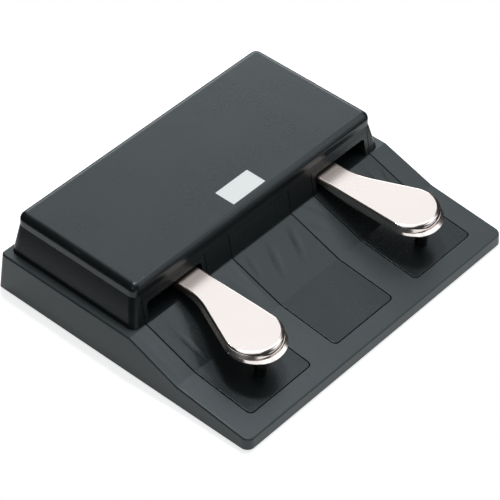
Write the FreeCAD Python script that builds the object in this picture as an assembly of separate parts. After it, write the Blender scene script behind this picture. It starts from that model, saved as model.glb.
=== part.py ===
import FreeCAD, Part
import os
from math import cos, pi, radians, sin, sqrt, tan
from FreeCAD import Vector

os.makedirs("parts", exist_ok=True)

# Double sustain pedal: a low housing with three bays, a cover over its rear half and two
# hinged pedals that come out through windows in the cover's front wall.
# Sizes are in millimetres. While a piece is built, x runs to the player's right, y is the
# depth behind the housing's front edge and z is the height over its bottom edge. Export
# then moves it into the part's frame, on the feet's lower faces and centred over them.

# Clearances
fixed_gap = 0.3
shaft_clearance = 0.05
bay_gap = 0.55
tongue_top_gap = 0.15
label_gap = 0.1

# How far a cut runs past what it cuts, and how deep a joined shape is sunk in its neighbour
overcut = 1.0
sunk = 0.5

# Housing
housing_width = 250.0
housing_depth = 210.0
housing_front_corner = 5.5
housing_rear_corner = 3.5
housing_draft = 0.066
housing_wall = 2.8
housing_edge_round = 1.2
front_edge_height = 7.9
fold_depth = 58.6
fold_height = 13.9
slope_length = 39.6
shelf_height = 27.5
rib_thickness = 2.0
rib_front_depth = 12.0
rib_rear_setback = 2.2

# Cover
cover_side_margin = 7.4
cover_front_margin = 0.9
cover_rear_margin = 4.4
cover_rim_height = 48.4
cover_top_height = 57.2
cover_side_draft = 0.246
cover_front_draft = 0.204
cover_rear_draft = 0.095
cover_rim_draft = 0.02
cover_corner = 5.4
cover_top_round = 4.8
cover_wall = 2.6

# The corners' radius shrinks by this share of the wall on the inside of both shells
corner_thinning = 0.8
least_corner = 0.6

# Bays, counted from the middle one
bay_side_margin = 17.4
bay_width = 57.0
bay_front_depth = 13.5
bay_corner = 3.5
bay_edge_round = 0.35
seat_lip = 2.6
seat_inset = 3.0
seat_thickness = 2.0
tongue_height = 17.0
tongue_thickness = 2.8
window_width = 49.5
window_height = 13.5
window_corner = 2.5
panel_screw_spread = 36.0
panel_screw_depth = 46.0

# Opening in the housing's deck, under the cover
deck_side_ledge = 16.6
deck_front_clearance = 6.0
deck_rear_ledge = 15.8
deck_opening_corner = 4.0

# Bottom plate and feet
plate_thickness = 2.0
plate_recess = 0.2
foot_height = 1.8
foot_radius = 8.0
foot_margin = 18.0
foot_edge_round = 0.5

# Label on the cover
label_width = 30.2
label_length = 15.8
label_depth = 118.1
label_recess = 0.6
label_thickness = 0.45
label_corner = 0.6

# Pedals, as on the right; the left one is its mirror image
plateau_height = 38.0
skirt_height = 6.6
skirt_draft = 2.0
lip_width = 0.4
lip_edge_height = 0.5
lip_height = 1.4
neck_bay_shift = 22.5
neck_width = 19.6
pad_radius = 19.4
pad_centre_depth = 38.0
pad_wall_radius = 19.2
pad_wall_setback = 2.2
flare_angle = 25.0
flare_round = 45.0
pedal_edge_round = 1.4
pedal_shell = 2.8
skirt_rise_setback = 1.1
skirt_rise_length = 22.0
hollow_end_reach = 10.0
arm_thickness = 4.5
arm_length = 44.0
tip_round_radius = 3.8
tip_round_start = 8.0
tip_round_angle = 80.0
tip_round_shift = 2.2
tip_round_side = 1.0
hub_radius = 6.5
hub_width = 20.8
web_share = 0.8

# Hinge
pivot_setback = 24.9
pivot_height = 31.0
pedal_travel = 8.7
axle_radius = 3.0
bush_radius = 4.5
bush_length = 8.0
bush_flange_radius = 6.2
bush_flange_thickness = 1.2
clip_radius = 5.5
clip_thickness = 0.8
clip_groove_depth = 0.6
axle_end_length = 1.6

# Bracket that carries the hinge, spring, rest pad and switch
sheet_thickness = 2.0
cheek_clearance = 0.4
cheek_front_reach = 11.0
cheek_front_bevel = 5.0
cheek_front_rise = 6.0
cheek_level_reach = 10.0
bracket_rear_margin = 6.0
bridge_clearance = 1.8
bridge_reach = 9.0
bracket_foot_inset = 6.0
strap_length = 9.0
strap_setback = 2.0
rest_pad_thickness = 2.0
rest_pad_gap = 0.3
rest_pad_inset = 2.0
rest_pad_margin = 0.5

# Return spring
spring_setback = 7.0
spring_radius = 4.6
spring_wire = 1.3
spring_turns = 4.5
spring_end_sink = 0.3
spring_peg_radius = 3.2
spring_peg_height = 2.4

# Switch under the arm
switch_length = 19.0
switch_thickness = 6.4
switch_body_height = 10.2
switch_top_gap = 3.3
switch_start = 9.6
switch_edge = 0.5
plunger_offset = 14.0
plunger_radius = 1.2
plunger_sunk = 3.0
plunger_hole_spare = 1.5
plunger_end_round = 0.7
small_screw_radius = 1.1
small_head_radius = 2.1
small_head_height = 1.3
small_slot_width = 0.6
small_slot_depth = 0.6

# Rubber stop under each pedal's pad
stop_radius = 4.2
stop_cap_radius = 4.9
stop_cap_height = 2.0
stop_setback = 6.8
stop_side_shift = 2.0
stop_edge_round = 0.6
stop_peg_radius = 2.0
stop_peg_length = 4.2

# Screws
screw_radius = 1.5
screw_head_radius = 3.0
screw_head_height = 1.5
screw_slot_width = 0.9
screw_slot_depth = 0.8
screw_slot_reach = 1.8
screw_boss_radius = 3.6
plate_screw_length = 6.5
bracket_screw_length = 6.0
cover_screw_length = 14.0
front_boss_depth = 30.0
side_boss_margin = 9.5
side_boss_setback = 4.0
rear_boss_margin = 11.0
corner_boss_side = 35.0
corner_boss_rear = 12.5
cover_front_boss = 7.9
cover_side_boss = 9.1
cover_rear_boss = 9.8
cover_rear_boss_side = 42.6

# Cord inlet in the rear wall, and the terminal board behind it
inlet_height = 13.0
grommet_flange_radius = 8.0
grommet_radius = 5.5
grommet_bore_radius = 2.6
grommet_flange_thickness = 1.0
grommet_flange_sink = 0.6
grommet_reach = 3.0
board_width = 42.0
board_length = 13.0
board_thickness = 1.6
board_rear_margin = 4.8
board_standoff = 2.0
standoff_radius = 2.8
board_screw_offset = 16.5
board_screw_setback = 7.8
board_screw_length = 6.0
connector_width = 8.0
connector_length = 6.0
connector_height = 5.5
connector_offset = 6.5
connector_setback = 4.0
lead_radius = 1.2
lead_drop = 4.0
lead_end_run = 12.0
lead_arc_share = 0.45

half_width = housing_width / 2
slope_end_depth = fold_depth + slope_length
half_cover = half_width - cover_side_margin
cover_front_depth = slope_end_depth + cover_front_margin
cover_rear_depth = housing_depth - cover_rear_margin
cover_middle_depth = (cover_front_depth + cover_rear_depth) / 2
half_bay = bay_width / 2
bay_pitch = half_width - bay_side_margin - half_bay
between_bays = bay_pitch / 2
pivot_depth = cover_front_depth + pivot_setback
half_deck_opening = half_cover - deck_side_ledge
deck_opening_front = pivot_depth - hub_radius - deck_front_clearance
deck_opening_rear = cover_rear_depth - deck_rear_ledge
plate_top = plate_recess + plate_thickness
deck_under = shelf_height - housing_wall
neck_inner_offset = bay_pitch - neck_bay_shift
neck_centre = neck_inner_offset + neck_width / 2
pad_centre = neck_inner_offset + pad_radius
arm_under = plateau_height - arm_thickness
pedal_ceiling = plateau_height - pedal_shell
skirt_rise_end = cover_front_depth - skirt_rise_setback
skirt_rise_start = skirt_rise_end - skirt_rise_length
hollow_rear_depth = skirt_rise_start + hollow_end_reach
arm_rear_depth = pivot_depth + arm_length
cheek_inner = hub_width / 2 + bush_flange_thickness + cheek_clearance
cheek_outer = cheek_inner + sheet_thickness
clip_start = cheek_outer + fixed_gap
bracket_front_depth = pivot_depth - cheek_front_reach
bracket_rear_depth = arm_rear_depth + bracket_rear_margin
bridge_height = cover_top_height - cover_wall - bridge_clearance - sheet_thickness
spring_depth = arm_rear_depth - spring_setback
strap_rear_depth = arm_rear_depth - strap_setback
strap_front_depth = strap_rear_depth - strap_length
strap_top = arm_under - rest_pad_gap - rest_pad_thickness
switch_front_depth = pivot_depth + switch_start
switch_rear_depth = switch_front_depth + switch_length
switch_top_height = arm_under - switch_top_gap
switch_low_height = switch_top_height - switch_body_height
switch_left = neck_centre - cheek_inner
switch_right = switch_left + switch_thickness
switch_middle = (switch_left + switch_right) / 2
switch_screw_height = switch_low_height + switch_body_height / 4
stop_depth = pad_centre_depth - stop_setback
stop_x = pad_centre + stop_side_shift
board_front_depth = cover_rear_depth - board_rear_margin - board_length
board_low = shelf_height + board_standoff
board_top = board_low + board_thickness
board_screw_depth = board_front_depth + board_screw_setback
connector_depth = board_front_depth + connector_setback
screw_hole_radius = screw_radius + shaft_clearance
small_hole_radius = small_screw_radius + shaft_clearance
grommet_seat = (housing_depth - housing_draft * inlet_height - grommet_flange_sink
                - grommet_flange_thickness)
plate_screw_places = [
    (between_bays, front_boss_depth),
    (half_width - side_boss_margin, front_boss_depth),
    (half_width - side_boss_margin, pivot_depth + side_boss_setback),
    (half_width - corner_boss_side, housing_depth - corner_boss_rear),
    (between_bays, housing_depth - rear_boss_margin),
]
cover_screw_places = [
    (between_bays, cover_front_depth + cover_front_boss),
    (half_cover - cover_side_boss, cover_middle_depth),
    (half_cover - cover_rear_boss_side, cover_rear_depth - cover_rear_boss),
]
lead_middle_points = [
    Vector(switch_middle, bracket_rear_depth + 2.0, deck_under),
    Vector(switch_middle - 7.6, bracket_rear_depth + 10.5, shelf_height + 2.5),
    Vector(switch_middle - 20.1, connector_depth - 1.5, board_top + 2.5),
]


def top_height(depth):
    # height of the housing's upper surface at a depth
    if depth <= fold_depth:
        return front_edge_height + (fold_height - front_edge_height) * depth / fold_depth
    if depth <= slope_end_depth:
        share = (depth - fold_depth) / (slope_end_depth - fold_depth)
        return fold_height + (shelf_height - fold_height) * share
    return shelf_height


def pressed_height(height, depth, angle):
    # where a level face of the pedal lies at a depth once the pedal is turned by an angle
    turn = radians(angle)
    return pivot_height + (height - pivot_height) / cos(turn) + (depth - pivot_depth) * tan(turn)


def stop_top_height():
    # the pressed pad's ceiling comes down to just over the front of the stop's flat top
    front = stop_depth - stop_cap_radius + stop_edge_round
    return pressed_height(pedal_ceiling, front, pedal_travel) - fixed_gap


def profile_points(start, end, drop):
    # the upper surface's profile between two depths, lowered by a drop
    inner = [depth for depth in (fold_depth, slope_end_depth) if start < depth < end]
    return [(depth, top_height(depth) - drop) for depth in [start] + inner + [end]]


def side_prism(points, left, right):
    # outline of (depth, height) points drawn out along x
    corners = [Vector(left, depth, height) for depth, height in points]
    face = Part.Face(Part.makePolygon(corners + corners[:1]))
    return face.extrude(Vector(right - left, 0, 0))


def profile_band(start, end, upper_drop, lower_drop, left, right):
    # layer that follows the upper surface between two drops under it
    upper = profile_points(start, end, upper_drop)
    lower = profile_points(start, end, lower_drop)
    return side_prism(upper + lower[::-1], left, right)


def rounded_outline(corners, height):
    # level outline through (x, y, radius) corners, with tangent arcs
    arcs = []
    for index, (x, y, radius) in enumerate(corners):
        here = Vector(x, y, height)
        before = Vector(corners[index - 1][0], corners[index - 1][1], height)
        following = corners[(index + 1) % len(corners)]
        after = Vector(following[0], following[1], height)
        to_before = (before - here).normalize()
        to_after = (after - here).normalize()
        half_angle = to_before.getAngle(to_after) / 2
        reach = radius / tan(half_angle)
        inward = (to_before + to_after).normalize()
        middle = here + inward * (radius / sin(half_angle) - radius)
        arcs.append((here + to_before * reach, middle, here + to_after * reach))
    edges = []
    for index, (start, middle, end) in enumerate(arcs):
        if corners[index][2] > 0:
            edges.append(Part.Arc(start, middle, end).toShape())
        next_start = arcs[(index + 1) % len(arcs)][0]
        if end.distanceToPoint(next_start) > 1e-6:
            edges.append(Part.makeLine(end, next_start))
    return Part.Wire(edges)


def rectangle_outline(left, right, front, rear, front_radius, rear_radius, height):
    corners = [
        (left, front, front_radius),
        (right, front, front_radius),
        (right, rear, rear_radius),
        (left, rear, rear_radius),
    ]
    return rounded_outline(corners, height)


def slab(outline, thickness):
    return Part.Face(outline).extrude(Vector(0, 0, thickness))


def upright(x, depth, low, high, radius):
    # cylinder along z
    return Part.makeCylinder(radius, high - low, Vector(x, depth, low))


def crosswise(depth, height, left, right, radius):
    # cylinder along x
    return Part.makeCylinder(radius, right - left, Vector(left, depth, height), Vector(1, 0, 0))


def lengthwise(height, front, rear, radius):
    # cylinder along y, over the housing's middle line
    return Part.makeCylinder(radius, rear - front, Vector(0, front, height), Vector(0, 1, 0))


def block(left, right, front, rear, low, high):
    return Part.makeBox(right - left, rear - front, high - low, Vector(left, front, low))


def both_sides(places):
    return [(side * x, depth) for x, depth in places for side in (1, -1)]


def round_edges(shape, radius, chosen):
    edges = [edge for edge in shape.Edges if chosen(edge)]
    return shape.makeFillet(radius, edges)


def inner_corner(radius, inset):
    return max(radius - inset * corner_thinning, least_corner)


def housing_shell(inset, top_drop, low):
    # drafted block under the upper surface, moved inward by an inset
    def outline(height):
        edge = inset + housing_draft * height
        return rectangle_outline(
            edge - half_width, half_width - edge, edge, housing_depth - edge,
            inner_corner(housing_front_corner, inset),
            inner_corner(housing_rear_corner, inset), height)

    shell = Part.makeLoft([outline(low), outline(shelf_height)], True, True)
    profile = profile_points(-housing_depth, housing_depth * 2, top_drop)
    sky = [(housing_depth * 2, cover_top_height), (-housing_depth, cover_top_height)]
    return shell.cut(side_prism(profile + sky, -housing_width, housing_width))


def bay_outline(centre, grow, rear, height):
    # a bay's outline with rounded front corners
    return rectangle_outline(
        centre - half_bay - grow, centre + half_bay + grow,
        bay_front_depth - grow, rear, bay_corner + grow, 0, height)


def housing_bosses():
    # screw bosses and ribs under the housing's upper surface
    pieces = []
    for x, depth in both_sides(plate_screw_places):
        pieces.append(upright(x, depth, plate_top, shelf_height, screw_boss_radius))
    for middle in (-between_bays, between_bays):
        pieces.append(block(middle - rib_thickness / 2, middle + rib_thickness / 2,
                            rib_front_depth, slope_end_depth - rib_rear_setback, plate_top,
                            shelf_height))
    return pieces


def bay_seat(centre):
    # ledge under the upper surface that a bay's panel lies on
    return profile_band(
        bay_front_depth - seat_lip, deck_opening_front, housing_wall - sunk,
        housing_wall + seat_thickness,
        centre - half_bay - seat_lip, centre + half_bay + seat_lip)


def is_bay_rim(edge, centre, half, front):
    # the edges round a bay's outline along the upper surface, not those across its folds
    if any(abs(point.Z - top_height(point.Y)) > bay_edge_round / 10 for point in edge.Vertexes):
        return False
    middle = edge.BoundBox.Center
    aside = abs(middle.x - centre)
    on_side = abs(aside - half) < bay_corner and edge.BoundBox.XLength < half
    on_front = aside < half and abs(middle.y - front) < bay_edge_round
    return middle.y < deck_opening_front and (on_side or on_front)


def round_bay_rim(shape, centre, gap):
    # the recess has no gap to its own outline, and its panel has the bay's gap
    half = half_bay - gap
    front = bay_front_depth + gap
    return round_edges(shape, bay_edge_round,
                       lambda edge: is_bay_rim(edge, centre, half, front))


def bay_cuts(centre):
    # the panel's recess down to its seat, and the smaller hole through the seat
    rear = deck_opening_front + overcut
    recess = slab(bay_outline(centre, 0, rear, 0), cover_top_height)
    band = profile_band(
        bay_front_depth - seat_lip, rear, -housing_wall, housing_wall,
        centre - half_bay - overcut, centre + half_bay + overcut)
    hole = block(centre - half_bay + seat_inset, centre + half_bay - seat_inset,
                 bay_front_depth + seat_inset, rear, 0, shelf_height)
    return [recess.common(band), hole]


def deck_opening():
    outline = rectangle_outline(
        -half_deck_opening, half_deck_opening, deck_opening_front, deck_opening_rear,
        deck_opening_corner, deck_opening_corner, deck_under - overcut)
    return slab(outline, housing_wall + overcut * 2)


def grommet_cuts():
    rear = housing_depth + overcut
    return [lengthwise(inlet_height, cover_rear_depth - overcut, rear, grommet_radius),
            lengthwise(inlet_height, grommet_seat, rear, grommet_flange_radius)]


def is_housing_rim(edge):
    # the edges along the top of the housing's outer walls
    middle = edge.BoundBox.Center
    near = housing_wall + housing_draft * shelf_height
    on_side = half_width - abs(middle.x) < near
    on_end = min(middle.y, housing_depth - middle.y) < near
    level = edge.BoundBox.ZLength < housing_draft
    along = edge.BoundBox.YLength > housing_front_corner * 2
    return middle.z > front_edge_height / 2 and (on_side or on_end) and (level or along)


def make_housing():
    body = housing_shell(0, 0, 0)
    body = round_edges(body, housing_edge_round, is_housing_rim)
    body = body.cut(housing_shell(housing_wall, housing_wall, -overcut))
    under_skin = housing_shell(housing_wall / 2, housing_wall / 2, 0)
    added = [piece.common(under_skin) for piece in housing_bosses()]
    cuts = [deck_opening()] + grommet_cuts()
    for bay in (-1, 0, 1):
        added.append(bay_seat(bay * bay_pitch))
        cuts += bay_cuts(bay * bay_pitch)
    for x in (-board_screw_offset, board_screw_offset):
        added.append(upright(x, board_screw_depth, deck_under, board_low, standoff_radius))
        cuts.append(upright(x, board_screw_depth, deck_under - overcut, board_low + overcut,
                            small_hole_radius))
    for x, depth in both_sides(plate_screw_places):
        cuts.append(upright(x, depth, 0, plate_recess + plate_screw_length + fixed_gap,
                            screw_hole_radius))
    for x, depth in both_sides(cover_screw_places):
        cuts.append(upright(x, depth, deck_under - overcut, shelf_height + overcut,
                            screw_hole_radius))
    body = body.fuse(added).cut(cuts).removeSplitter()
    for bay in (-1, 0, 1):
        body = round_bay_rim(body, bay * bay_pitch, 0)
    return body


def cover_block(inset, low):
    # block of the cover, moved inward by an inset: drafted walls under a steep rim
    radius = inner_corner(cover_corner, inset)

    def outline(height):
        rise = min(height, cover_rim_height) - shelf_height
        rim = cover_rim_draft * max(0, height - cover_rim_height)
        side = half_cover - inset - cover_side_draft * rise - rim
        return rectangle_outline(
            -side, side,
            cover_front_depth + inset + cover_front_draft * rise + rim,
            cover_rear_depth - inset - cover_rear_draft * rise - rim,
            radius, radius, height)

    walls = Part.makeLoft([outline(low), outline(cover_rim_height)], True, True)
    rim = Part.makeLoft([outline(cover_rim_height), outline(cover_top_height - inset)], True, True)
    return walls.fuse(rim)


def make_cover():
    shell = cover_block(0, shelf_height)
    shell = round_edges(
        shell, cover_top_round,
        lambda edge: edge.BoundBox.ZMin > cover_top_height - label_gap)
    inside = cover_block(cover_wall, shelf_height - overcut)
    bosses = []
    cuts = [label_pocket()]
    for x, depth in both_sides(cover_screw_places):
        boss = upright(x, depth, shelf_height, cover_top_height - cover_wall / 2,
                       screw_boss_radius)
        bosses.append(boss.common(cover_block(cover_wall / 2, shelf_height)))
        cuts.append(upright(x, depth, shelf_height - overcut,
                            deck_under + cover_screw_length + fixed_gap, screw_hole_radius))
    for bay in (-1, 0, 1):
        centre = bay * bay_pitch
        cuts.append(block(centre - half_bay, centre + half_bay,
                          cover_front_depth - tongue_height, cover_front_depth + tongue_height,
                          shelf_height - overcut,
                          shelf_height + tongue_height + tongue_top_gap))
    return shell.cut(inside).fuse(bosses).cut(cuts)


def label_outline(gap, height):
    x = label_width / 2 - gap
    y = label_length / 2 - gap
    return rectangle_outline(-x, x, label_depth - y, label_depth + y,
                             label_corner, label_corner, height)


def label_pocket():
    return slab(label_outline(0, cover_top_height - label_recess), label_recess + overcut)


def make_label():
    return slab(label_outline(label_gap, cover_top_height - label_recess), label_thickness)


def wall_tongue(left, right):
    # upright layer that leans back with the cover's front wall
    low = shelf_height - housing_wall / 2
    high = shelf_height + tongue_height

    def face(height):
        return cover_front_depth + cover_front_draft * (height - shelf_height)

    return side_prism(
        [(face(low), low), (face(high), high), (face(high) + tongue_thickness, high),
         (face(low) + tongue_thickness, low)], left, right)


def window_opening(centre):
    # opening in the tongue, square below and rounded at its upper corners
    half = window_width / 2
    corners = [
        (centre - half, 0, 0),
        (centre + half, 0, 0),
        (centre + half, window_height, window_corner),
        (centre - half, window_height, window_corner),
    ]
    opening = slab(rounded_outline(corners, 0), tongue_height * 2)
    opening.rotate(Vector(0, 0, 0), Vector(1, 0, 0), 90)
    opening.translate(Vector(0, cover_front_depth + tongue_height, shelf_height))
    return opening


def panel_screw_spots(bay):
    centre = bay * bay_pitch
    return [(centre + side * panel_screw_spread / 2, panel_screw_depth) for side in (-1, 1)]


def make_bay_panel(bay, with_pedal):
    # floor, slope and wall tongue of one bay, in one moulding
    centre = bay * bay_pitch
    left = centre - half_bay + bay_gap
    right = centre + half_bay - bay_gap
    rear = deck_opening_front
    floor = profile_band(bay_front_depth, rear, 0, housing_wall, left, right)
    floor = floor.common(slab(bay_outline(centre, -bay_gap, rear, 0), cover_top_height))
    floor = round_bay_rim(floor, centre, bay_gap)
    added = [wall_tongue(left, right)]
    holes = []
    if with_pedal:
        holes.append(window_opening(centre))
        holes.append(upright(stop_x, stop_depth, 0, shelf_height,
                             stop_peg_radius + shaft_clearance))
    for x, depth in panel_screw_spots(bay):
        added.append(upright(x, depth, plate_top, top_height(depth) - housing_wall / 2,
                             screw_boss_radius))
        holes.append(upright(x, depth, 0, plate_recess + plate_screw_length + fixed_gap,
                             screw_hole_radius))
    return floor.fuse(added).cut(holes).removeSplitter()


def bracket_screw_spots(side):
    reach = cheek_inner - bracket_foot_inset
    depths = (bracket_front_depth + bracket_foot_inset, bracket_rear_depth - bracket_foot_inset)
    return [(side * neck_centre + step * reach, depth) for step in (-1, 1) for depth in depths]


def make_bottom_plate():
    edge = housing_wall + fixed_gap + housing_draft * plate_top
    plate = slab(rectangle_outline(
        edge - half_width, half_width - edge, edge, housing_depth - edge,
        inner_corner(housing_front_corner, housing_wall),
        inner_corner(housing_rear_corner, housing_wall), plate_recess), plate_thickness)
    spots = both_sides(plate_screw_places) + bracket_screw_spots(1) + bracket_screw_spots(-1)
    for bay in (-1, 0, 1):
        spots += panel_screw_spots(bay)
    return plate.cut([upright(x, depth, -overcut, plate_top + overcut, screw_hole_radius)
                      for x, depth in spots])


def make_foot(side, depth):
    foot = upright(side * (half_width - foot_margin), depth, -foot_height, plate_recess,
                   foot_radius)
    return round_edges(foot, foot_edge_round,
                       lambda edge: edge.BoundBox.ZMax < -foot_height / 2)


def make_screw(x, depth, under_head, length):
    # pan-head screw whose shank runs upward from the height under its head
    shank = upright(x, depth, under_head, under_head + length, screw_radius)
    head_low = under_head - screw_head_height
    head = upright(x, depth, head_low, under_head, screw_head_radius)
    slots = []
    for across, along in ((screw_slot_width / 2, screw_slot_reach),
                          (screw_slot_reach, screw_slot_width / 2)):
        slots.append(block(x - across, x + across, depth - along, depth + along,
                           head_low - overcut, head_low + screw_slot_depth))
    return shank.fuse(head).cut(slots).removeSplitter()


def make_screws(spots, under_head, length):
    return Part.makeCompound([make_screw(x, depth, under_head, length) for x, depth in spots])


def pedal_outline(grow, pad, pad_depth, height):
    # plan outline of the right pedal round a pad's radius and depth, grown outward
    inner = neck_inner_offset - grow
    outer = neck_inner_offset + neck_width + grow
    radius = pad + grow
    tip = pad_depth - radius
    slant = radians(flare_angle)
    tangent_x = neck_inner_offset + pad + radius * cos(slant)
    tangent_y = pad_depth + radius * sin(slant)
    flare_y = tangent_y + (tangent_x - outer) / tan(slant)
    tip_x = tangent_x + (tangent_y - tip) * tan(slant)
    corners = [
        (inner, tip, radius),
        (tip_x, tip, radius),
        (outer, flare_y, flare_round - grow),
        (outer, arm_rear_depth, 0),
        (inner, arm_rear_depth, 0),
    ]
    return rounded_outline(corners, height)


def wall_outline(grow, height):
    # outline of the pedal's upper wall, which stands back from the lip round the pad's tip
    return pedal_outline(grow, pad_wall_radius, pad_centre_depth + pad_wall_setback, height)


def lip_outline(height):
    return pedal_outline(lip_width, pad_radius, pad_centre_depth, height)


def tip_rounding():
    # ring that rounds the pad's end off, most at the tip and least at its sides
    rim = pad_wall_radius - tip_round_side
    rim_depth = pad_centre_depth + pad_wall_setback + tip_round_shift

    first = radians(tip_round_start)

    def on_arc(angle):
        turn = radians(angle)
        return Vector(rim + tip_round_radius * (sin(turn) - sin(first)), 0,
                      plateau_height - tip_round_radius * (cos(first) - cos(turn)))

    outside = rim + tip_round_radius * 2
    above = plateau_height + overcut
    low = on_arc(tip_round_angle)
    middle = on_arc((tip_round_start + tip_round_angle) / 2)
    curve = Part.Arc(on_arc(tip_round_start), middle, low).toShape()
    frame = Part.makePolygon([low, Vector(outside, 0, low.z), Vector(outside, 0, above),
                              Vector(rim, 0, above), on_arc(tip_round_start)])
    ring = Part.Face(Part.Wire([curve] + frame.Edges)).revolve(
        Vector(0, 0, 0), Vector(0, 0, 1), 360)
    ring.translate(Vector(neck_inner_offset + pad_wall_radius, rim_depth, 0))
    front = block(0, housing_width, -housing_depth, rim_depth, 0, above)
    return ring.common(front)


def pedal_blank():
    # drafted wall rounded along its upper edge and at its tip, on a lip that runs round it
    bottom = plateau_height - skirt_height
    growth = skirt_height * tan(radians(skirt_draft))
    wall = Part.makeLoft([wall_outline(growth, bottom), wall_outline(0, plateau_height)],
                         True, True)
    wall = round_edges(wall, pedal_edge_round,
                       lambda edge: edge.BoundBox.ZMin > plateau_height - shaft_clearance)
    lip_top = bottom + lip_edge_height
    lip = slab(lip_outline(bottom), lip_edge_height)
    slope = Part.makeLoft([lip_outline(lip_top), wall_outline(0, bottom + lip_height)],
                          True, True)
    return wall.cut(tip_rounding()).fuse([lip, slope]).removeSplitter()


def pedal_hollow():
    # space inside the pad and the neck, open below
    low = plateau_height - skirt_height - overcut
    growth = (pedal_ceiling - low) * tan(radians(skirt_draft))
    hollow = Part.makeLoft([wall_outline(growth - pedal_shell, low),
                            wall_outline(-pedal_shell, pedal_ceiling)], True, True)
    return hollow.common(block(0, housing_width, 0, hollow_rear_depth, 0, pedal_ceiling))


def pedal_under_cut():
    # what is taken away under the neck's rear and the arm
    bottom = plateau_height - skirt_height
    rear = arm_rear_depth + overcut
    low = bottom - overcut
    return side_prism([(skirt_rise_start, low), (skirt_rise_start, bottom),
                       (skirt_rise_end, arm_under), (rear, arm_under), (rear, low)],
                      0, housing_width)


def make_pedal():
    # cast lever: hollow pad, solid neck, hub, and rear arm with a peg for the spring
    lever = pedal_blank().cut([pedal_hollow(), pedal_under_cut()])
    left = neck_centre - hub_width / 2
    right = neck_centre + hub_width / 2
    web = hub_radius * web_share
    added = [
        crosswise(pivot_depth, pivot_height, left, right, hub_radius),
        block(left, right, pivot_depth - web, pivot_depth + web, pivot_height - web / 2,
              arm_under + sunk),
        upright(neck_centre, spring_depth, plateau_height - sunk,
                plateau_height + spring_peg_height, spring_peg_radius),
    ]
    bore = crosswise(pivot_depth, pivot_height, left - overcut, right + overcut,
                     bush_radius + shaft_clearance)
    return lever.fuse(added).cut(bore).removeSplitter()


def hinge_cylinder(side, start, end, radius):
    # cylinder about the right hinge's axis, between two distances from the neck's middle
    faces = sorted((side * start, side * end))
    return crosswise(pivot_depth, pivot_height, neck_centre + faces[0],
                     neck_centre + faces[1], radius)


def make_bushes():
    # two flanged sleeves, one from each end of the hub
    face = hub_width / 2
    pieces = []
    for side in (-1, 1):
        sleeve = hinge_cylinder(side, face - bush_length, face, bush_radius)
        flange = hinge_cylinder(side, face, face + bush_flange_thickness, bush_flange_radius)
        bore = hinge_cylinder(side, 0, hub_width, axle_radius + shaft_clearance)
        pieces.append(sleeve.fuse(flange).cut(bore).removeSplitter())
    return Part.makeCompound(pieces)


def make_axle():
    end = clip_start + clip_thickness + fixed_gap + axle_end_length
    axle = hinge_cylinder(1, -end, end, axle_radius)
    for side in (-1, 1):
        groove = hinge_cylinder(side, clip_start, clip_start + clip_thickness,
                                axle_radius + overcut)
        core = hinge_cylinder(side, 0, end, axle_radius - clip_groove_depth)
        axle = axle.cut(groove.cut(core))
    return axle


def make_clips():
    # open retaining rings in the axle's grooves
    bore = axle_radius - clip_groove_depth + shaft_clearance
    mouth = bore * web_share
    pieces = []
    for side in (-1, 1):
        ring = hinge_cylinder(side, clip_start + shaft_clearance,
                              clip_start + clip_thickness - shaft_clearance, clip_radius)
        pieces.append(ring.cut([
            hinge_cylinder(side, 0, clip_start * 2, bore),
            block(neck_centre - clip_start * 2, neck_centre + clip_start * 2,
                  pivot_depth - mouth, pivot_depth + mouth,
                  pivot_height - clip_radius - overcut, pivot_height)]))
    return Part.makeCompound(pieces)


def bracket_outline():
    # side view of a cheek, low in front and high under the bridge
    bridge_top = bridge_height + sheet_thickness
    shoulder = pivot_height + cheek_front_rise
    return [
        (bracket_front_depth, plate_top),
        (bracket_front_depth, shoulder - cheek_front_bevel),
        (bracket_front_depth + cheek_front_bevel, shoulder),
        (pivot_depth + cheek_level_reach, shoulder),
        (spring_depth - bridge_reach, bridge_top),
        (bracket_rear_depth, bridge_top),
        (bracket_rear_depth, plate_top),
    ]


def make_bracket():
    # folded steel bracket: floor, two cheeks, rest strap and spring bridge
    left = neck_centre - cheek_outer
    right = neck_centre + cheek_outer
    bridge_top = bridge_height + sheet_thickness
    pieces = [
        side_prism(bracket_outline(), left, left + sheet_thickness),
        side_prism(bracket_outline(), right - sheet_thickness, right),
        block(left, right, bracket_front_depth, bracket_rear_depth, plate_top,
              plate_top + sheet_thickness),
        block(left, right, spring_depth - bridge_reach, bracket_rear_depth, bridge_height,
              bridge_top),
        block(left, right, strap_front_depth, strap_rear_depth, strap_top - sheet_thickness,
              strap_top),
        upright(neck_centre, spring_depth, bridge_height - spring_peg_height, bridge_top,
                spring_peg_radius),
    ]
    holes = [hinge_cylinder(1, -clip_start, clip_start, axle_radius + shaft_clearance)]
    for x, depth in bracket_screw_spots(1):
        holes.append(upright(x, depth, 0, plate_top + sheet_thickness + overcut,
                             screw_hole_radius))
    for depth in switch_screw_depths():
        holes.append(crosswise(depth, switch_screw_height, left - overcut,
                               switch_left + overcut, small_hole_radius))
    return pieces[0].fuse(pieces[1:]).cut(holes).removeSplitter()


def make_rest_pad():
    reach = cheek_inner - rest_pad_inset
    return block(neck_centre - reach, neck_centre + reach,
                 strap_front_depth + rest_pad_margin, strap_rear_depth - rest_pad_margin,
                 strap_top, strap_top + rest_pad_thickness)


def arc_between(start, control, end):
    # arc that leaves start towards a control point and arrives at end from it
    middle = (start + end) * 0.5
    height = (control - middle).Length
    half_chord = (end - start).Length / 2
    leg = sqrt(half_chord ** 2 + height ** 2)
    rise = half_chord * (leg - half_chord) / height
    return Part.Arc(start, middle + (control - middle) * (rise / height), end).toShape()


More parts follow.
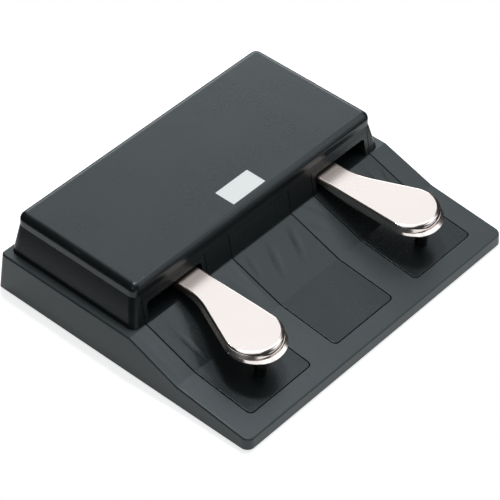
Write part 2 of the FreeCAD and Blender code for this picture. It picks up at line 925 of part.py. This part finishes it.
def biarc(start, start_direction, end, end_direction):
    # two tangent arcs between two points with given directions
    span = end - start
    total = start_direction + end_direction
    turn = 2 * (1 - start_direction.dot(end_direction))
    along = span.dot(total)
    reach = (sqrt(along ** 2 + turn * span.dot(span)) - along) / turn
    first = start + start_direction * reach
    second = end - end_direction * reach
    joint = (first + second) * 0.5
    return [arc_between(start, first, joint), arc_between(joint, second, end)]


def tube(edges, radius):
    # round tube along a path of joined edges
    path = Part.Wire(edges)
    start = edges[0].valueAt(edges[0].FirstParameter)
    direction = edges[0].tangentAt(edges[0].FirstParameter)
    section = Part.Wire(Part.makeCircle(radius, start, direction))
    return path.makePipeShell([section], True, False)


def least_coil_gap(points):
    # least distance between wires at least half a turn apart
    half_turn = round((len(points) - 1) / spring_turns / 2)
    return min(first.distanceToPoint(second) for index, first in enumerate(points)
               for second in points[index + half_turn:]) - spring_wire


def make_spring(x):
    # compression spring between the arm and the bridge, ground flat at both ends
    low = plateau_height + fixed_gap
    high = bridge_height - fixed_gap
    pitch = (high - low - spring_end_sink * 2 * spring_wire) / spring_turns

    def place(turns):
        angle = 2 * pi * turns
        return Vector(x + spring_radius * cos(angle), spring_depth + spring_radius * sin(angle),
                      low + spring_wire * spring_end_sink + pitch * turns)

    def direction(turns):
        angle = 2 * pi * turns
        return Vector(-sin(angle), cos(angle), pitch / (2 * pi * spring_radius)).normalize()

    edges = []
    for step in range(round(spring_turns * 4)):
        first, second = step / 4, (step + 1) / 4
        edges += biarc(place(first), direction(first), place(second), direction(second))
    points = [place(step / 36) for step in range(round(spring_turns * 36) + 1)]
    print("spring least gap", round(least_coil_gap(points), 2))
    reach = spring_radius + spring_wire
    ground = block(x - reach, x + reach, spring_depth - reach, spring_depth + reach, low, high)
    return tube(edges, spring_wire / 2).common(ground)


def switch_screw_depths():
    return [switch_front_depth + switch_length / 4, switch_rear_depth - switch_length / 4]


def make_switch():
    body = block(switch_left, switch_right, switch_front_depth, switch_rear_depth,
                 switch_low_height, switch_top_height)
    ends = [edge for edge in body.Edges if edge.BoundBox.ZMin > switch_top_height - switch_edge
            and edge.BoundBox.YLength < switch_edge]
    body = body.makeChamfer(switch_edge, ends)
    holes = [upright(switch_middle, pivot_depth + plunger_offset,
                     switch_top_height - plunger_sunk - plunger_hole_spare,
                     switch_top_height + overcut, plunger_radius + shaft_clearance)]
    for depth in switch_screw_depths():
        holes.append(crosswise(depth, switch_screw_height, switch_left - overcut,
                               switch_right + overcut, small_hole_radius))
    return body.cut(holes)


def make_plunger():
    top = arm_under - rest_pad_gap
    plunger = upright(switch_middle, pivot_depth + plunger_offset,
                      switch_top_height - plunger_sunk, top, plunger_radius)
    return round_edges(plunger, plunger_end_round,
                       lambda edge: edge.BoundBox.ZMin > top - plunger_end_round)


def small_screw(x, depth, height, length, turn_axis, turn):
    # small slotted screw, drawn with its head up and then turned about the head's seat
    shank = upright(0, 0, -length, 0, small_screw_radius)
    head = upright(0, 0, 0, small_head_height, small_head_radius)
    slot = block(-small_slot_width / 2, small_slot_width / 2,
                 -small_head_radius - overcut, small_head_radius + overcut,
                 small_head_height - small_slot_depth, small_head_height + overcut)
    screw = shank.fuse(head).cut(slot)
    screw.rotate(Vector(0, 0, 0), turn_axis, turn)
    screw.translate(Vector(x, depth, height))
    return screw


def make_switch_screws():
    # two small screws through the cheek and the switch
    length = sheet_thickness + switch_thickness
    return Part.makeCompound([
        small_screw(neck_centre - cheek_outer, depth, switch_screw_height, length,
                    Vector(0, 1, 0), -90)
        for depth in switch_screw_depths()])


def make_stop():
    # rubber stop with a wider cap, which stands on the bay's floor with a peg through it
    floor = top_height(stop_depth)
    top = stop_top_height()
    post = upright(stop_x, stop_depth, floor - stop_radius, top - sunk, stop_radius)
    cap = upright(stop_x, stop_depth, top - stop_cap_height, top, stop_cap_radius)
    cap = round_edges(cap, stop_edge_round, lambda edge: edge.BoundBox.ZLength < sunk)
    below = profile_band(stop_depth - stop_radius * 2, stop_depth + stop_radius * 2, 0,
                         stop_radius * 2, stop_x - stop_radius * 2, stop_x + stop_radius * 2)
    peg = upright(stop_x, stop_depth, floor - stop_peg_length, floor + sunk * 2,
                  stop_peg_radius)
    return post.cut(below).fuse([peg, cap]).removeSplitter()


def make_grommet():
    # flanged sleeve in the rear wall, bored for a cord
    inner = grommet_seat - housing_wall - grommet_reach
    sleeve = lengthwise(inlet_height, inner, grommet_seat, grommet_radius - shaft_clearance)
    flange = lengthwise(inlet_height, grommet_seat, grommet_seat + grommet_flange_thickness,
                        grommet_flange_radius - shaft_clearance)
    bore = lengthwise(inlet_height, inner - overcut, housing_depth + overcut,
                      grommet_bore_radius)
    return sleeve.fuse(flange).removeSplitter().cut(bore)


def make_board():
    board = block(-board_width / 2, board_width / 2, board_front_depth,
                  board_front_depth + board_length, board_low, board_top)
    return board.cut([upright(x, board_screw_depth, board_low - overcut, board_top + overcut,
                              small_hole_radius)
                      for x in (-board_screw_offset, board_screw_offset)])


def make_board_screws():
    return Part.makeCompound([
        small_screw(x, board_screw_depth, board_top, board_screw_length, Vector(0, 0, 1), 0)
        for x in (-board_screw_offset, board_screw_offset)])


def make_connectors():
    return Part.makeCompound([
        block(x - connector_width / 2, x + connector_width / 2,
              connector_depth - connector_length / 2, connector_depth + connector_length / 2,
              board_top, board_top + connector_height)
        for x in (-connector_offset, connector_offset)])


def make_lead():
    # lead from the switch's rear, out of the bracket, up through the deck to its connector
    start = Vector(switch_middle, switch_rear_depth, switch_low_height + lead_drop)
    end = Vector(connector_offset + connector_width / 2, connector_depth,
                 board_top + connector_height / 2)
    points = [start, start + Vector(0, lead_end_run, 0)] + lead_middle_points
    points += [end + Vector(lead_end_run, 0, 0), end]
    edges = []
    radii = []
    here = start
    for before, corner, after in zip(points, points[1:], points[2:]):
        back = before - corner
        ahead = after - corner
        reach = lead_arc_share * min(back.Length, ahead.Length)
        half_turn = (pi - back.getAngle(ahead)) / 2
        radii.append(round(reach / tan(half_turn), 1))
        arc_start = corner + back.normalize() * reach
        arc_end = corner + ahead.normalize() * reach
        edges.append(Part.makeLine(here, arc_start))
        edges.append(arc_between(arc_start, corner, arc_end))
        here = arc_end
    edges.append(Part.makeLine(here, end))
    lead = tube(edges, lead_radius)
    length = sum(edge.Length for edge in edges)
    print("lead radii", radii, "volume share",
          round(lead.Volume / (pi * lead_radius ** 2 * length), 4))
    return lead


def export(name, shape):
    moved = shape.copy()
    moved.translate(Vector(0, -housing_depth / 2, foot_height))
    moved.exportStep("parts/" + name + ".step")
    print(name, "solids", len(moved.Solids), "valid", moved.isValid(),
          "mm3", round(moved.Volume, 1))


def export_pair(name, shape):
    # a piece of the right-hand mechanism and its mirror image on the left
    export("right_" + name, shape)
    export("left_" + name, shape.mirror(Vector(0, 0, 0), Vector(1, 0, 0)))


def panel_screws():
    spots = [spot for bay in (-1, 0, 1) for spot in panel_screw_spots(bay)]
    return make_screws(spots, plate_recess, plate_screw_length)


export("base_housing", make_housing())
export("top_cover", make_cover())
export("label_plate", make_label())
export("centre_blank_panel", make_bay_panel(0, False))
export_pair("bay_panel", make_bay_panel(1, True))
export("bottom_plate", make_bottom_plate())
for end_name, foot_depth in (("front", foot_margin), ("rear", housing_depth - foot_margin)):
    export(end_name + "_right_foot", make_foot(1, foot_depth))
    export(end_name + "_left_foot", make_foot(-1, foot_depth))
export("plate_screws", make_screws(both_sides(plate_screw_places), plate_recess,
                                   plate_screw_length))
export("panel_screws", panel_screws())
export("cover_screws", make_screws(both_sides(cover_screw_places), deck_under,
                                   cover_screw_length))
export("cable_grommet", make_grommet())
export_pair("pedal", make_pedal())
export_pair("pivot_bushes", make_bushes())
export_pair("pivot_axle", make_axle())
export_pair("axle_clips", make_clips())
export_pair("pivot_bracket", make_bracket())
export_pair("bracket_screws", make_screws(bracket_screw_spots(1), plate_recess,
                                          bracket_screw_length))
export("right_return_spring", make_spring(neck_centre))
export("left_return_spring", make_spring(-neck_centre))
export_pair("rest_pad", make_rest_pad())
export_pair("stop_bumper", make_stop())
export_pair("switch_body", make_switch())
export_pair("switch_plunger", make_plunger())
export_pair("switch_screws", make_switch_screws())
export_pair("switch_lead", make_lead())
export("terminal_board", make_board())
export("board_connectors", make_connectors())
export("board_screws", make_board_screws())
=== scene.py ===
import math

import bmesh
import bpy
from mathutils import Matrix, Vector


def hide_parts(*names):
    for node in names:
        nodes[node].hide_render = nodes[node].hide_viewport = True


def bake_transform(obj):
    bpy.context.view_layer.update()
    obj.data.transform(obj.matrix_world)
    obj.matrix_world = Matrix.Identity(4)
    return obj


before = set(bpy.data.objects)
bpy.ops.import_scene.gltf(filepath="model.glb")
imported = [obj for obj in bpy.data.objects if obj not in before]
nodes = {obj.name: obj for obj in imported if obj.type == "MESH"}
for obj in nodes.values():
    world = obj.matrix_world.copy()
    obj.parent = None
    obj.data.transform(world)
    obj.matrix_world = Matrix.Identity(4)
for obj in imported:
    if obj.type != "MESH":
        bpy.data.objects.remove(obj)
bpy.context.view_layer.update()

print("frame loaded:", len(nodes), "nodes")

white = (1, 1, 1, 1)

# Detail and roughness of each kind of noise
noiseKinds = {
    "ripple": (1.0, 0.5), "waves": (2.0, 0.5), "soft": (2.0, 0.6),
    "grain": (3.0, 0.6), "brushed": (3.0, 0.7), "fibres": (4.0, 0.7),
}


# Shader maths: a wire wraps a node's output, and an operator between wires adds a Math node
class Wire:
    def __init__(self, shader, socket):
        self.shader = shader
        self.socket = socket

    def combine(self, operation, first, second):
        inputs = {0: first, 1: second}
        return self.shader.node("ShaderNodeMath", {"operation": operation}, inputs)

    def __add__(self, other):
        return self.combine("ADD", self, other)

    def __radd__(self, other):
        return self.combine("ADD", other, self)

    def __sub__(self, other):
        return self.combine("SUBTRACT", self, other)

    def __rsub__(self, other):
        return self.combine("SUBTRACT", other, self)

    def __mul__(self, other):
        return self.combine("MULTIPLY", self, other)

    def __rmul__(self, other):
        return self.combine("MULTIPLY", other, self)


class Shader:
    def __init__(self, tree):
        self.tree = tree
        tree.nodes.clear()

    def node(self, kind, settings=None, inputs=None, output=0):
        made = self.tree.nodes.new(kind)
        for key, value in (settings or {}).items():
            setattr(made, key, value)
        for key, value in (inputs or {}).items():
            if isinstance(value, Wire):
                self.tree.links.new(value.socket, made.inputs[key])
            else:
                made.inputs[key].default_value = value
        return Wire(self, made.outputs[output]) if made.outputs else made

    # A colour is three numbers or a wire. Sockets 6 and 7 are the mix's two colours, 2 its result
    def colour(self, first, second, factor):
        ends = [end if isinstance(end, Wire) else (*end, 1) for end in (first, second)]
        settings = {"data_type": "RGBA", "clamp_factor": True}
        inputs = {0: factor, 6: ends[0], 7: ends[1]}
        return self.node("ShaderNodeMix", settings, inputs, 2)

    def noise(self, place, scale, kind):
        detail, rough = noiseKinds[kind]
        inputs = {"Vector": place, "Scale": scale, "Detail": detail, "Roughness": rough}
        return self.node("ShaderNodeTexNoise", {}, inputs, "Fac")

    # Noise with its own scale along each axis
    def streaks(self, place, scales, kind):
        inputs = {"Vector": place, "Scale": scales}
        return self.noise(self.node("ShaderNodeMapping", {}, inputs), 1.0, kind)

    # 0 below low, 1 above high, and smooth in between
    def ramp(self, value, low, high):
        settings = {"interpolation_type": "SMOOTHSTEP", "clamp": True}
        return self.node("ShaderNodeMapRange", settings, {0: value, 1: low, 2: high})

    # Soft oval seen from above: 1 in its middle, 0 from its rim on, at every height of the part
    def spot(self, place, mark):
        inputs = {
            "Vector": place, "Location": (*mark["at"], 0), "Rotation": (0, 0, mark["turn"]),
            "Scale": (*mark["size"], 100),
        }
        inside = self.node("ShaderNodeMapping", {"vector_type": "TEXTURE"}, inputs)
        settings = {"gradient_type": "SPHERICAL"}
        middle = self.node("ShaderNodeTexGradient", settings, {"Vector": inside}, "Fac")
        return self.ramp(middle, 0.0, 1.0)

    # Principled surface, with a height in metres as its relief
    def skin(self, tint, rough, height, others):
        relief = {"Height": height, "Distance": 1.0, "Strength": 1.0}
        inputs = {"Base Color": tint, "Roughness": rough, **others}
        inputs["Normal"] = self.node("ShaderNodeBump", {}, relief, "Normal")
        return self.node("ShaderNodeBsdfPrincipled", {}, inputs, "BSDF")


def finish(name, build):
    material = bpy.data.materials.new(name)
    material.use_nodes = True
    shader = Shader(material.node_tree)
    place = shader.node("ShaderNodeTexCoord", output="Object")
    shader.node("ShaderNodeOutputMaterial", {}, {"Surface": build(shader, place)})
    return material


# Unit vector. A turn runs from +X towards +Y and a rise from the floor up, both in degrees
def direction(turn, rise):
    turn, rise = math.radians(turn), math.radians(rise)
    across = math.cos(rise)
    return Vector((across * math.cos(turn), across * math.sin(turn), math.sin(rise)))


def facing(towards):
    return towards.to_track_quat("Z", "Y").to_matrix().to_4x4()


# Camera in front of the left corner and above it: lengths in metres, lens in millimetres
cameraView = {
    "turn": -140.29, "rise": 43.40, "roll": 2.19, "aim": (-0.0006, 0.0028, 0.0115),
    "distance": 1.607, "focal": 181.6, "sensor": 36, "farEnd": 50,
}


def placeCamera(view):
    data = bpy.data.cameras.new("photo_camera")
    data.lens = view["focal"]
    data.sensor_width = view["sensor"]
    data.clip_end = view["farEnd"]
    camera = bpy.data.objects.new("photo_camera", data)
    bpy.context.scene.collection.objects.link(camera)
    back = direction(view["turn"], view["rise"])
    at = Matrix.Translation(Vector(view["aim"]) + back * view["distance"])
    roll = Matrix.Rotation(math.radians(view["roll"]), 4, "Z")
    camera.matrix_world = at @ facing(back) @ roll
    bpy.context.scene.camera = camera


# Floor, world and lamps. The floor glows for the camera, and by a share of that in reflections.
# A lamp's light is its brightness, so its power follows from its size
studio = {
    "floorSize": (0.37, 0.33), "floorCells": 4, "floorShade": (0.8, 0.8, 0.8, 1),
    "floorGlow": 0.12, "floorSeenGlow": 0.6, "floorMirroredShare": 0.5,
    "roomLight": 0.03, "lampColour": (0.92, 0.975, 1.0), "lampDistance": 1.6,
    "lamps": {
        "overhead_panel": {"turn": -130, "rise": 86, "size": (1.0, 1.2), "light": 1.05},
        "top_panel": {"turn": -10, "rise": 70, "size": (0.8, 0.5), "light": 0.9},
        "front_panel": {"turn": -42, "rise": 37, "size": (1.0, 0.7), "light": 1.3},
        "right_panel": {"turn": -12, "rise": 54, "size": (0.7, 0.6), "light": 1.45},
        "right_rear_panel": {"turn": 42, "rise": 47, "size": (1.0, 0.9), "light": 1.06},
        "low_right_panel": {"turn": 46, "rise": 20, "size": (1.2, 0.7), "light": 3.2},
        "left_panel": {"turn": -160, "rise": 30, "size": (0.8, 0.6), "light": 1.0},
        "low_front_panel": {"turn": -62, "rise": 12, "size": (1.3, 0.4), "light": 0.8},
        "low_left_panel": {"turn": -125, "rise": 9, "size": (1.0, 0.3), "light": 0.5},
        "key": {"turn": 42, "rise": 76, "size": (0.22, 0.22), "light": 50},
    },
}


def floorPaper(shader, place):
    seen = shader.node("ShaderNodeLightPath", output="Is Camera Ray")
    mirrored = Wire(shader, seen.socket.node.outputs["Is Glossy Ray"])
    glow = (seen * studio["floorSeenGlow"]
            + mirrored * studio["floorSeenGlow"] * studio["floorMirroredShare"]
            + studio["floorGlow"])
    paper = shader.node("ShaderNodeBsdfDiffuse", {}, {"Color": studio["floorShade"]})
    glowing = shader.node("ShaderNodeEmission", {}, {"Strength": glow})
    return shader.node("ShaderNodeAddShader", {}, {0: paper, 1: glowing})


def layFloor(plan):
    mesh = bmesh.new()
    half = [length / 2 for length in plan["floorSize"]]
    cells = plan["floorCells"]
    bmesh.ops.create_grid(mesh, x_segments=cells, y_segments=cells, size=1.0,
                          matrix=Matrix.Diagonal((*half, 1.0, 1.0)))
    data = bpy.data.meshes.new("floor")
    mesh.to_mesh(data)
    mesh.free()
    floor = bpy.data.objects.new("floor", data)
    bpy.context.scene.collection.objects.link(floor)
    data.materials.append(finish("floor_paper", floorPaper))


# White behind the part for the camera alone, and a dim room for everything else
def buildRoom(plan):
    world = bpy.data.worlds.new("studio")
    bpy.context.scene.world = world
    world.use_nodes = True
    sky = Shader(world.node_tree)
    seen = sky.node("ShaderNodeLightPath", output="Is Camera Ray")
    dim, plain = [sky.node("ShaderNodeBackground", {}, {"Color": white, "Strength": strength})
                  for strength in (plan["roomLight"], 1.0)]
    both = sky.node("ShaderNodeMixShader", {}, {0: seen, 1: dim, 2: plain})
    sky.node("ShaderNodeOutputWorld", {}, {"Surface": both})


def hangLamps(plan):
    for name, lamp in plan["lamps"].items():
        data = bpy.data.lights.new(name, "AREA")
        data.shape = "RECTANGLE"
        data.size, data.size_y = lamp["size"]
        data.energy = lamp["light"] * math.pi * data.size * data.size_y
        data.color = plan["lampColour"]
        made = bpy.data.objects.new(name, data)
        bpy.context.scene.collection.objects.link(made)
        towards = direction(lamp["turn"], lamp["rise"])
        place = Matrix.Translation(towards * plan["lampDistance"])
        made.matrix_world = place @ facing(towards)


placeCamera(cameraView)
layFloor(studio)
buildRoom(studio)
hangLamps(studio)
bpy.context.scene.view_settings.view_transform = "Standard"
print("studio built")


# Finishes: scales are counts per metre, and heights, depths and marks are in metres.
# Moulded plastic has fine grain, wide waves, long streaks and the sink marks given to it
baseLook = {
    "colour": (0.031, 0.037, 0.038), "light": (0.053, 0.062, 0.064),
    "tint": (0.94, 1.0, 1.03, 1), "rough": 0.36, "roughSpread": 0.12,
    "grain": 800, "grainHeight": 0.00009, "waves": 22,
    "streaks": (70, 14, 30), "streakHeight": 0.00008,
    "marks": [], "markRough": 300,
}
coverLook = {
    **baseLook, "colour": (0.009, 0.0115, 0.012), "light": (0.015, 0.018, 0.019),
    "rough": 0.29, "roughSpread": 0.08, "grainHeight": 0.00006,
}
panelLook = {
    **baseLook, "colour": (0.011, 0.0135, 0.014), "light": (0.022, 0.027, 0.028),
    "rough": 0.25, "streakHeight": 0.00017,
}
innerLook = {**panelLook, "rough": 0.34, "streakHeight": 0.0}

# Sink marks: centre, turn in radians, half width and half length. Below 0 a depth stands up
housingMarks = [
    {"at": (-0.0312, -0.0265), "turn": 0.0, "size": (0.0026, 0.024), "depth": -0.00017},
    {"at": (-0.0400, -0.0260), "turn": 0.2, "size": (0.0060, 0.020), "depth": 0.00026},
    {"at": (0.0435, -0.0127), "turn": 0.5, "size": (0.0040, 0.012), "depth": 0.00018},
    {"at": (0.0348, -0.0212), "turn": 0.6, "size": (0.0036, 0.014), "depth": 0.00016},
    {"at": (-0.1180, -0.0250), "turn": 0.0, "size": (0.0040, 0.030), "depth": 0.00012},
]
middleMarks = [
    {"at": (0.0155, -0.0220), "turn": -0.45, "size": (0.0045, 0.019), "depth": 0.00030},
    {"at": (-0.0052, -0.0226), "turn": -0.42, "size": (0.0048, 0.018), "depth": 0.00030},
    {"at": (0.0270, -0.0370), "turn": 0.0, "size": (0.0022, 0.012), "depth": -0.00016},
    {"at": (-0.0210, -0.0180), "turn": -0.3, "size": (0.0040, 0.013), "depth": 0.00020},
]
leftMarks = [
    {"at": (-0.0957, -0.0280), "turn": 0.0, "size": (0.0034, 0.019), "depth": 0.00022},
    {"at": (-0.1010, -0.0230), "turn": 0.3, "size": (0.0030, 0.012), "depth": -0.00010},
]
rightMarks = [{**mark, "at": (-mark["at"][0], mark["at"][1]), "turn": -mark["turn"]}
              for mark in leftMarks]


def mouldedPlastic(look):
    def build(shader, place):
        grain = shader.noise(place, look["grain"], "grain")
        cloud = shader.noise(place, look["waves"], "waves")
        streaks = shader.streaks(place, look["streaks"], "waves")
        tint = shader.colour(look["colour"], look["light"], cloud * 0.5 + grain * 0.5)
        spread = look["roughSpread"]
        rough = look["rough"] + (grain - 0.5) * spread + (cloud - 0.5) * spread
        height = grain * look["grainHeight"] + streaks * look["streakHeight"]
        for mark in look["marks"]:
            dent = shader.spot(place, mark)
            height = height - dent * mark["depth"]
            rough = rough + dent * abs(mark["depth"]) * look["markRough"]
        return shader.skin(tint, rough, height, {"Specular Tint": look["tint"]})
    return build


# Bright plating, duller along the neck from neckStart to the window, in metres on Y, and painted
# darker and browner there as painted shade and painted reflection of the dark cover wall
nickelLook = {
    "colour": (0.92, 0.825, 0.785), "shade": (0.88, 0.775, 0.735), "clouds": 90,
    "edgeTint": (0.84, 0.72, 0.68, 1), "rough": 0.16, "hairs": (900, 60, 900),
    "roughSpread": 0.02, "ripples": 60, "rippleHeight": 0.0000015,
    "neckStart": -0.021, "neckEnd": -0.006, "neckPaintedShade": (0.72, 0.60, 0.55), "neckRough": 0.17,
}


def platedNickel(look):
    def build(shader, place):
        cloud = shader.noise(place, look["clouds"], "grain")
        hairs = shader.streaks(place, look["hairs"], "brushed")
        depth = shader.node("ShaderNodeSeparateXYZ", {}, {"Vector": place}, "Y")
        neck = shader.ramp(depth, look["neckStart"], look["neckEnd"])
        plating = shader.colour(look["shade"], look["colour"], cloud)
        # Painted shade: near the window the plating colour is mixed towards dark brown, standing
        # in for shade and the dark wall's reflection
        tint = shader.colour(plating, look["neckPaintedShade"], neck)
        rough = look["rough"] + hairs * look["roughSpread"] + neck * look["neckRough"]
        height = shader.noise(place, look["ripples"], "ripple") * look["rippleHeight"]
        others = {"Metallic": 1.0, "Specular Tint": look["edgeTint"]}
        return shader.skin(tint, rough, height, others)
    return build


zincLook = {
    "colour": (0.60, 0.61, 0.62), "shade": (0.42, 0.43, 0.44), "spangles": 260,
    "brush": (1500, 90, 1500), "spangleShare": 0.7, "brushShare": 0.3, "rough": 0.26,
    "brushRough": 0.12, "spangleRough": 0.08, "brushHeight": 0.000004,
}
springLook = {
    **zincLook, "colour": (0.46, 0.46, 0.47), "shade": (0.30, 0.30, 0.31), "rough": 0.22,
    "spangles": 500,
}


def steel(look):
    def build(shader, place):
        spangle = shader.noise(place, look["spangles"], "grain")
        brushed = shader.streaks(place, look["brush"], "brushed")
        share = spangle * look["spangleShare"] + brushed * look["brushShare"]
        tint = shader.colour(look["shade"], look["colour"], share)
        rough = look["rough"] + brushed * look["brushRough"] + spangle * look["spangleRough"]
        return shader.skin(tint, rough, brushed * look["brushHeight"], {"Metallic": 1.0})
    return build


rubberLook = {
    "colour": (0.010, 0.011, 0.011), "dusty": (0.022, 0.023, 0.024), "dust": 400,
    "dustFrom": 0.55, "dustTo": 0.8, "grain": 3500, "grainHeight": 0.00001,
    "rough": 0.20, "roughSpread": 0.12,
}


def softRubber(shader, place):
    look = rubberLook
    grain = shader.noise(place, look["grain"], "soft")
    dust = shader.noise(place, look["dust"], "fibres")
    share = shader.ramp(dust, look["dustFrom"], look["dustTo"])
    tint = shader.colour(look["colour"], look["dusty"], share)
    rough = look["rough"] + grain * look["roughSpread"]
    return shader.skin(tint, rough, grain * look["grainHeight"], {})


labelLook = {
    "shade": (0.87, 0.86, 0.84), "colour": (0.94, 0.93, 0.91), "scale": 1800, "kind": "fibres",
    "rough": 0.42, "roughSpread": 0.1, "height": 0.000006,
}
nylonLook = {
    "shade": (0.62, 0.60, 0.54), "colour": (0.72, 0.70, 0.64), "scale": 240, "kind": "grain",
    "rough": 0.34, "roughSpread": 0.12, "height": 0.00002,
}


# One noise for shade, roughness and relief
def mottled(look):
    def build(shader, place):
        cloud = shader.noise(place, look["scale"], look["kind"])
        tint = shader.colour(look["shade"], look["colour"], cloud)
        rough = look["rough"] + cloud * look["roughSpread"]
        return shader.skin(tint, rough, cloud * look["height"], {})
    return build


feltLook = {
    "shade": (0.09, 0.09, 0.095), "colour": (0.24, 0.24, 0.25), "fibres": (2600, 900, 2600),
    "rough": 0.95, "sheen": 0.4, "height": 0.0002,
}


def greyFelt(shader, place):
    look = feltLook
    fibres = shader.streaks(place, look["fibres"], "fibres")
    tint = shader.colour(look["shade"], look["colour"], fibres)
    others = {"Sheen Weight": look["sheen"]}
    return shader.skin(tint, look["rough"], fibres * look["height"], others)


boardLook = {
    "shade": (0.012, 0.085, 0.035), "colour": (0.02, 0.12, 0.05), "weave": 420.0,
    "distortion": 0.4, "rough": 0.3, "roughSpread": 0.08, "height": 0.00001,
}


def boardLaminate(shader, place):
    look = boardLook
    settings = {"wave_type": "BANDS", "bands_direction": "X"}
    inputs = {"Vector": place, "Scale": look["weave"], "Distortion": look["distortion"]}
    weave = shader.node("ShaderNodeTexWave", settings, inputs, "Fac")
    tint = shader.colour(look["shade"], look["colour"], weave)
    rough = look["rough"] + weave * look["roughSpread"]
    return shader.skin(tint, rough, weave * look["height"], {})


# Finishes by the record's slots, and four of the mouldings' own
builders = {
    "housing_plastic": mouldedPlastic({**baseLook, "marks": housingMarks}),
    "inner_plastic": mouldedPlastic(innerLook),
    "polished_nickel": platedNickel(nickelLook),
    "label_white": mottled(labelLook),
    "black_rubber": softRubber,
    "zinc_steel": steel(zincLook),
    "spring_steel": steel(springLook),
    "bearing_plastic": mottled(nylonLook),
    "grey_felt": greyFelt,
    "board_laminate": boardLaminate,
    "cover_plastic": mouldedPlastic(coverLook),
    "middle_plastic": mouldedPlastic({**panelLook, "marks": middleMarks}),
    "left_plastic": mouldedPlastic({**panelLook, "marks": leftMarks}),
    "right_plastic": mouldedPlastic({**panelLook, "marks": rightMarks}),
}
finishes = {name: finish(name + "_finish", build) for name, build in builders.items()}
ownFinish = {
    "top_cover": "cover_plastic", "centre_blank_panel": "middle_plastic",
    "left_bay_panel": "left_plastic", "right_bay_panel": "right_plastic",
}
for name, node in nodes.items():
    for holder in node.material_slots:
        slot = holder.material.name.split(".")[0]
        holder.material = finishes[ownFinish.get(name, slot)]
print("finishes given")


# A copy stands for each stiff return spring, whose own node is hidden
def bendSpring(side):
    spring = side + "_return_spring"
    coil = bpy.data.objects.new(side + "_spring_coil", nodes[spring].data.copy())
    bpy.context.scene.collection.objects.link(coil)
    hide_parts(spring)
    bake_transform(coil)


for side in ("right", "left"):
    bendSpring(side)
